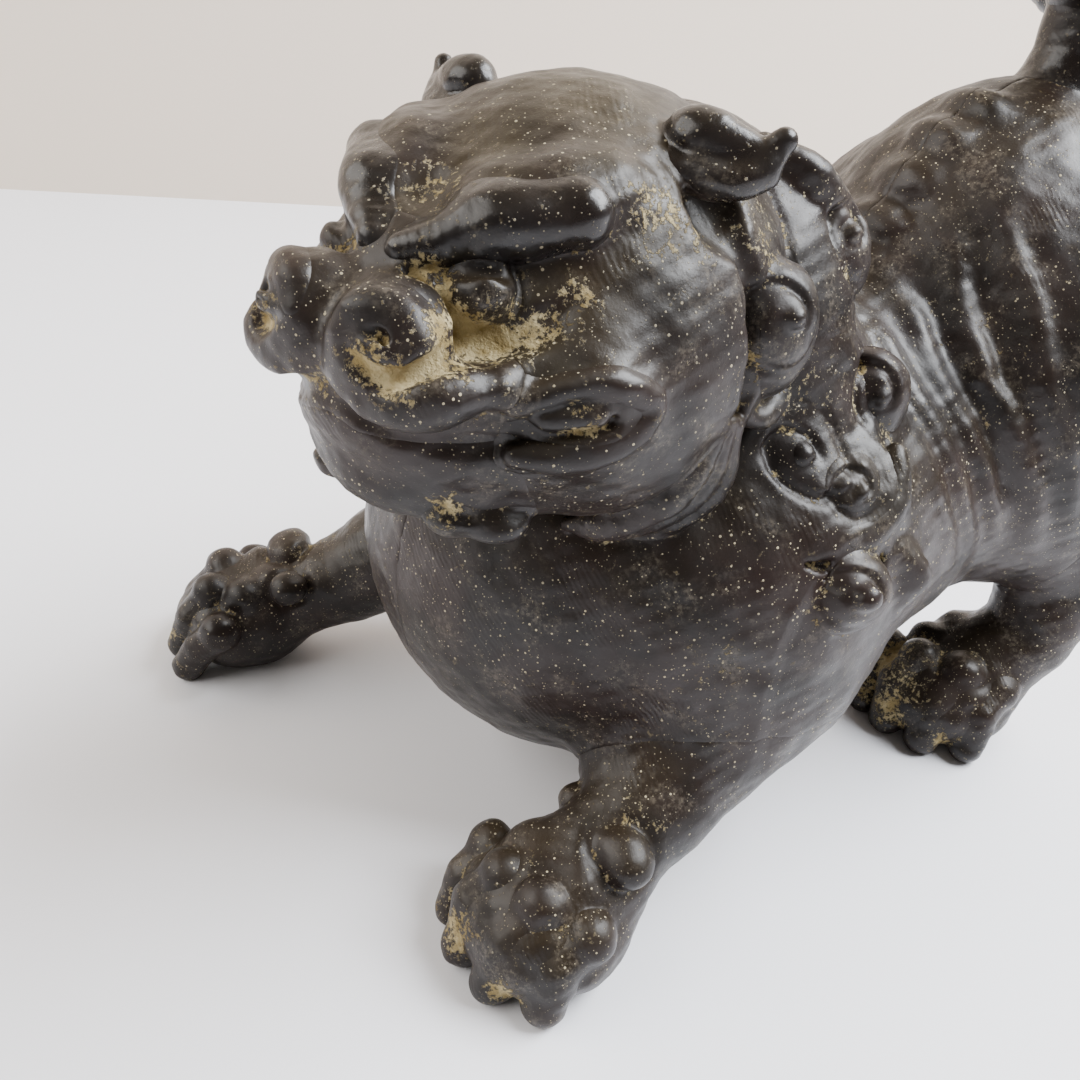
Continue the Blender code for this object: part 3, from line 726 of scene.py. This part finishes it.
class Nodes:
    """A material's node tree, filled in one node at a time."""

    def __init__(self, name):
        self.material = bpy.data.materials.new(name)
        self.material.use_nodes = True
        self.tree = self.material.node_tree
        self.tree.nodes.clear()
        self.shader = self.add("BsdfPrincipled")
        output = self.tree.nodes.new("ShaderNodeOutputMaterial")
        self.link(self.shader.outputs[0], output.inputs["Surface"])

    def link(self, source, socket):
        self.tree.links.new(source, socket)

    def add(self, kind, inputs=None, **settings):
        """A shader node with its settings; inputs maps a socket's name or number to a value or an output."""
        node = self.tree.nodes.new("ShaderNode" + kind)
        for name, value in settings.items():
            setattr(node, name, value)
        for socket, value in (inputs or {}).items():
            if isinstance(value, bpy.types.NodeSocket):
                self.link(value, node.inputs[socket])
            else:
                node.inputs[socket].default_value = value
        return node

    def math(self, operation, a, b=0.0, clamp=False):
        return self.add("Math", {0: a, 1: b}, operation=operation, use_clamp=clamp).outputs[0]

    def ramp(self, value, low, high, to_low=0.0, to_high=1.0):
        return self.add("MapRange", {"Value": value, "From Min": low, "From Max": high, "To Min": to_low,
                                     "To Max": to_high}, interpolation_type="SMOOTHSTEP").outputs["Result"]

    def mix(self, share, a, b):
        node = self.add("Mix", data_type="RGBA")
        for socket, value in (("Factor_Float", share), ("A_Color", a), ("B_Color", b)):
            target = next(s for s in node.inputs if s.identifier == socket)
            if isinstance(value, bpy.types.NodeSocket):
                self.link(value, target)
            else:
                target.default_value = value
        return next(s for s in node.outputs if s.identifier == "Result_Color")

    def noise(self, place, size, detail=3.0, rough=0.55, out="Fac"):
        """Cloudy noise whose lumps are about this size in mm."""
        return self.add("TexNoise", {"Vector": place, "Scale": 1 / size, "Detail": detail,
                                     "Roughness": rough}).outputs[out]

    def mark(self, name):
        return self.add("Attribute", attribute_name=name).outputs["Fac"]


def flecks(n, place, pitch, radius, share):
    """A mask of separate round flecks: one in each cell of the pitch, shown in the given share of cells."""
    cells = n.add("TexVoronoi", {"Vector": place, "Scale": 1 / pitch}, feature="F1")
    luck = n.add("SeparateColor", {"Color": cells.outputs["Color"]})
    size = n.math("MULTIPLY", n.math("ADD", luck.outputs[0], 0.55), radius / 1.2 / pitch)
    spot = n.math("SUBTRACT", size, cells.outputs["Distance"])
    shown = n.math("LESS_THAN", luck.outputs[1], share)
    return n.math("MULTIPLY", n.ramp(spot, 0.0, 0.05 / pitch), shown)


def stoneware(name, dark, warm, olive, gloss, ash, coat=0.0):
    """Unglazed stoneware: mottled dark clay, a painted olive sheen on its upper faces, flecks and crusts of
    ash.
    """
    n = Nodes(name)
    place = n.add("VectorMath", {0: n.add("TexCoord").outputs["Object"], "Scale": 1 / MM},
                  operation="SCALE").outputs[0]
    normal = n.add("NewGeometry").outputs["Normal"]
    up = n.add("SeparateXYZ", {0: normal}).outputs["Z"]
    recess, hollow = n.mark("recess"), n.mark("hollow")
    cloud = n.noise(place, 14.0)
    grain = n.noise(place, 0.7, 4.0, 0.7)            # clay grit of 0.7 mm
    colour = n.mix(n.ramp(cloud, 0.35, 0.68), linear(dark), linear(warm))
    # painted sheen: faces that look up turn a lighter olive in broad patches, as if lit from above
    painted_olive_sheen = n.math("MULTIPLY", n.ramp(up, 0.1, 0.95), n.ramp(n.noise(place, 22.0, 2.0), 0.3, 0.62))
    colour = n.mix(n.math("MULTIPLY", painted_olive_sheen, 0.75), colour, linear(olive))
    # a thin grey dust lies in patches where the surface is rough
    dusty = n.math("MULTIPLY", n.ramp(n.noise(place, 6.0, 4.0), 0.5, 0.68), n.ramp(grain, 0.42, 0.7))
    colour = n.mix(n.math("MULTIPLY", dusty, 0.30 * ash), colour, linear("857b6c"))
    thick = n.ramp(n.noise(place, 15.0, 2.0), 0.32, 0.62, 0.3, 1.0)
    big = flecks(n, place, 0.8, 0.15, 0.62)
    small = flecks(n, place, 0.42, 0.085, 0.6)
    speck = n.math("MAXIMUM", big, n.math("MULTIPLY", small, 0.8))
    speck = n.math("MULTIPLY", speck, n.math("MULTIPLY", thick, ash))
    colour = n.mix(n.math("MULTIPLY", speck, 0.85), colour, linear("b9ad8f"))
    # ash gathers where it was painted on, thins to separate grains at its edge, and settles in recesses
    caught = n.math("ADD", n.ramp(recess, 0.05, 0.6), n.ramp(hollow, 0.1, 0.7))
    drift = n.math("MULTIPLY", n.math("MULTIPLY", caught, 0.3), n.ramp(n.noise(place, 7.0), 0.42, 0.6))
    laid = n.math("ADD", n.math("MULTIPLY", n.mark("crust"), n.ramp(recess, -0.4, 0.5, 0.6, 1.15)),
                  n.math("MULTIPLY", drift, ash))
    gaps = n.ramp(n.noise(place, 2.6, 2.0), 0.35, 0.65, 0.0, 0.3)
    holes = n.math("ADD", n.ramp(grain, 0.34, 0.66, 0.0, 0.7), gaps)
    crust = n.ramp(n.math("SUBTRACT", laid, holes), -0.12, 0.3)
    buff = n.mix(n.ramp(n.noise(place, 2.2, 3.0), 0.35, 0.65), linear("8f7c50"), linear("b9a97f"))
    colour = n.mix(n.math("MULTIPLY", crust, 0.8), colour, buff)
    n.link(colour, n.shader.inputs["Base Color"])
    rough = n.ramp(n.noise(place, 5.0, 4.0), 0.3, 0.7, gloss, gloss + 0.16)
    rough = n.math("ADD", rough, n.math("MULTIPLY", n.math("MAXIMUM", crust, speck), 0.4), clamp=True)
    n.link(rough, n.shader.inputs["Roughness"])
    n.shader.inputs["Specular IOR Level"].default_value = 0.3
    n.shader.inputs["Coat Weight"].default_value = coat
    n.shader.inputs["Coat Roughness"].default_value = 0.18
    relief = n.math("ADD", n.math("MULTIPLY", n.noise(place, 0.9, 5.0, 0.6), 0.06),
                    n.math("MULTIPLY", crust, n.math("MULTIPLY", n.noise(place, 0.35, 3.0), 0.25)))
    relief = n.math("ADD", relief, n.math("MULTIPLY", speck, 0.06))
    # fine combing from a toothed rib drawn down the limbs and the mane
    teeth = {"Vector": place, "Scale": 0.55, "Distortion": 5.0, "Detail": 2.0, "Detail Scale": 0.6}
    comb = n.add("TexWave", teeth, wave_type="BANDS", bands_direction="DIAGONAL").outputs["Fac"]
    combed = n.math("MULTIPLY", comb, n.ramp(n.noise(place, 11.0, 1.0), 0.5, 0.66))
    relief = n.math("ADD", relief, n.math("MULTIPLY", combed, 0.015))
    bump = n.add("Bump", {"Height": relief, "Strength": 1.0, "Distance": MM})
    n.link(bump.outputs[0], n.shader.inputs["Normal"])
    return n.material


def plain(name, code, rough):
    n = Nodes(name)
    n.shader.inputs["Base Color"].default_value = linear(code)
    n.shader.inputs["Roughness"].default_value = rough
    return n.material


MATERIALS = {
    # pressed body clay: a satin purple-brown that shows pale flecks and buff ash in its creases
    "body_clay": stoneware("dark_body_clay_unglazed_wood_fired", "140f0d", "241a17", "2b2317", 0.33, 1.0),
    # the crown: smoother, with fewer flecks, and the lightest painted olive sheen on its upper faces
    "crown_clay": stoneware("dark_crown_clay_painted_olive_sheen", "15100e", "241b17", "322a19", 0.32, 0.8),
    # burnished before firing: nearly black and glossy, with sparse flecks
    "burnished_clay": stoneware("burnished_black_clay_stone_polished", "100c0c", "1b1513", "231d14",
                                0.24, 0.5, 0.15),
}

# ash patches: (axes, centre, radius, strength)
ASH = []
for side, strength in ((1, 1.0), (-1, 0.8)):
    ASH += [
        (HEAD, (side * 5.6, -66.6, 89.2), 2.4, strength),
        (HEAD, (side * 8.4, -66.2, 85.6), 2.6, strength),
        (HEAD, (side * 11.6, -64, 84.6), 2.4, strength),
        (HEAD, (side * 14.8, -61, 86.2), 2.4, strength),
        (HEAD, (side * 17.4, -57.5, 89.6), 2.2, 0.8 * strength),
        (HEAD, (side * 9.6, -70, 86.8), 2.2, 0.9 * strength),
        (HEAD, (side * 7.6, -75.6, 84.6), 2.4, strength),
        (HEAD, (side * 10, -74, 83.2), 2.4, strength),
        (HEAD, (side * 12.6, -70.4, 84.8), 2.6, strength),
        (HEAD, (side * 10.4, -68.6, 86.4), 2.4, 0.7 * strength),
        (HEAD, (side * 18.5, -49, 96.5), 3.4, 0.6 * strength),
        (HEAD, (side * 20, -44, 93.5), 3.6, 0.5 * strength),
        (HEAD, (side * 20.6, -60, 78.6), 1.8, strength),
        (HEAD, (side * 10.4, -67.8, 66.4), 2.2, 0.9 * strength),
        (HEAD, (side * 23, -34, 92.5), 3.4, 0.5 * strength),
    ]
ASH += [(HEAD, (0.5, -60.5, 97), 3.6, 0.6), (HEAD, (-3, -75.4, 78.4), 2.2, 0.9),
        (HEAD, (1, -75.8, 78.8), 1.8, 0.7),
        (BODY, (20, 24.5, 30), 4.5, 0.6), (PAWS["hind_left"], (-6, -6, 12), 5.0, 0.8)]
for side, _ in SIDES:
    ASH += [(HEAD, (side * 27, -25, 73), 3.0, 0.5), (HEAD, (side * 24.5, -19, 70), 3.2, 0.5),
            (BODY, (side * 30, 60, 64), 2.8, 0.5), (BODY, (side * 36, 54, 54.6), 2.6, 0.6),
            (HEAD, (side * 25.4, -41, 77), 3.6, 0.4), (BODY, (side * 37, 34, 42), 3.4, 0.4)]
for paw, space in PAWS.items():
    side = 1 if paw.endswith("left") else -1
    ASH += [(space, (side * -3.6, -12.4, 6), 2.8, 1.2), (space, (side * 5.8, -9.8, 4), 2.2, 1.1),
            (space, (side * -9.6, -10, 5), 2.4, 0.8), (space, (side * 0.2, -9, 9), 2.4, 0.6),
            (space, (side * -7, -6, 10), 2.4, 0.6), (space, (side * 6.2, -5, 10), 2.4, 0.5),
            (space, (side * 2, 12, 20), 4.0, 0.35)]


def crusted(points, marks):
    """How much ash lies at each point, from the list of patches."""
    total = np.zeros(len(points), np.float32)
    for space, centre, radius, strength in ASH:
        gap = np.linalg.norm(points - space.at(centre), axis=1) / radius
        total += strength * np.exp(-0.9 * gap ** 2)
    return np.minimum(0.85 * total, 0.95) * marks["skin"]


# ---------------------------------------------------------------- make every piece
with ThreadPoolExecutor(4) as pool:
    sculpted = [item for made in pool.map(sculpt, PIECES) for item in made]

for node, slot, points, quads, marks in sculpted:
    marks["crust"] = crusted(points, marks)
    piece = mesh_from(node + "_clay", points, quads, marks, MATERIALS[slot])
    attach(piece, "root")
    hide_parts(node)


# ---------------------------------------------------------------- camera, floor and light
def plane(name, corners, material):
    mesh = bpy.data.meshes.new(name)
    mesh.from_pydata(corners, [], [(0, 1, 2, 3)])
    mesh.materials.append(material)
    obj = bpy.data.objects.new(name, mesh)
    bpy.context.scene.collection.objects.link(obj)


TABLE_REACH = 2          # metres from the middle to each edge
WALL_HEIGHT = 1.2        # metres
WALL_ALONG = np.array([0.535, 0.845, 0])     # the wall's direction; it stands behind the figure
WALL_FOOT = np.array([-0.325, 0.04, 0])
table_corners = [(x * TABLE_REACH, y * TABLE_REACH, 0) for x, y in ((-1, -1), (1, -1), (1, 1), (-1, 1))]
plane("table", table_corners, plain("table_white_laminate_satin", "e6e6ea", 0.5))
near_end, far_end = WALL_FOOT - 1.5 * WALL_ALONG, WALL_FOOT + 1.5 * WALL_ALONG
wall_corners = [tuple(near_end), tuple(far_end), (*far_end[:2], WALL_HEIGHT), (*near_end[:2], WALL_HEIGHT)]
plane("backdrop", wall_corners, plain("wall_beige_matt_paint", "d9cbbc", 0.8))


def area_light(name, place, target, size, power, colour):
    data = bpy.data.lights.new(name, "AREA")
    data.shape = "RECTANGLE"
    data.size, data.size_y = size
    data.energy = power
    data.color = colour
    obj = bpy.data.objects.new(name, data)
    obj.location = place
    obj.rotation_euler = (Vector(target) - Vector(place)).to_track_quat("-Z", "Y").to_euler()
    bpy.context.scene.collection.objects.link(obj)


CAMERA_PLACE = (104, -55, 123)           # mm in the figure's axes
CAMERA_AZIMUTH, CAMERA_DROP, CAMERA_ROLL = 49.91, 32.0, 5.1


def set_camera():
    data = bpy.data.cameras.new("camera")
    data.lens, data.sensor_width = 35.67, 36
    data.clip_start = 0.005
    obj = bpy.data.objects.new("camera", data)
    obj.location = FIGURE.at(CAMERA_PLACE) * MM
    turn = Matrix.Rotation(math.radians(CAMERA_AZIMUTH), 3, "Z")
    turn = turn @ Matrix.Rotation(math.radians(90 - CAMERA_DROP), 3, "X")
    turn = turn @ Matrix.Rotation(math.radians(CAMERA_ROLL), 3, "Z")
    obj.rotation_euler = turn.to_euler()
    bpy.context.scene.collection.objects.link(obj)
    bpy.context.scene.camera = obj


set_camera()
area_light("window", (0.25, 0.35, 0.55), (0, 0, 0.05), (0.5, 0.4), 19, (0.93, 0.96, 1.0))
area_light("room", (-0.3, -0.6, 0.5), (0, 0, 0.05), (0.8, 0.6), 9, (1.0, 0.97, 0.93))
world = bpy.data.worlds.new("room_light")
world.use_nodes = True
world.node_tree.nodes["Background"].inputs["Color"].default_value = linear("d8d0c6")
world.node_tree.nodes["Background"].inputs["Strength"].default_value = 0.3
bpy.context.scene.world = world
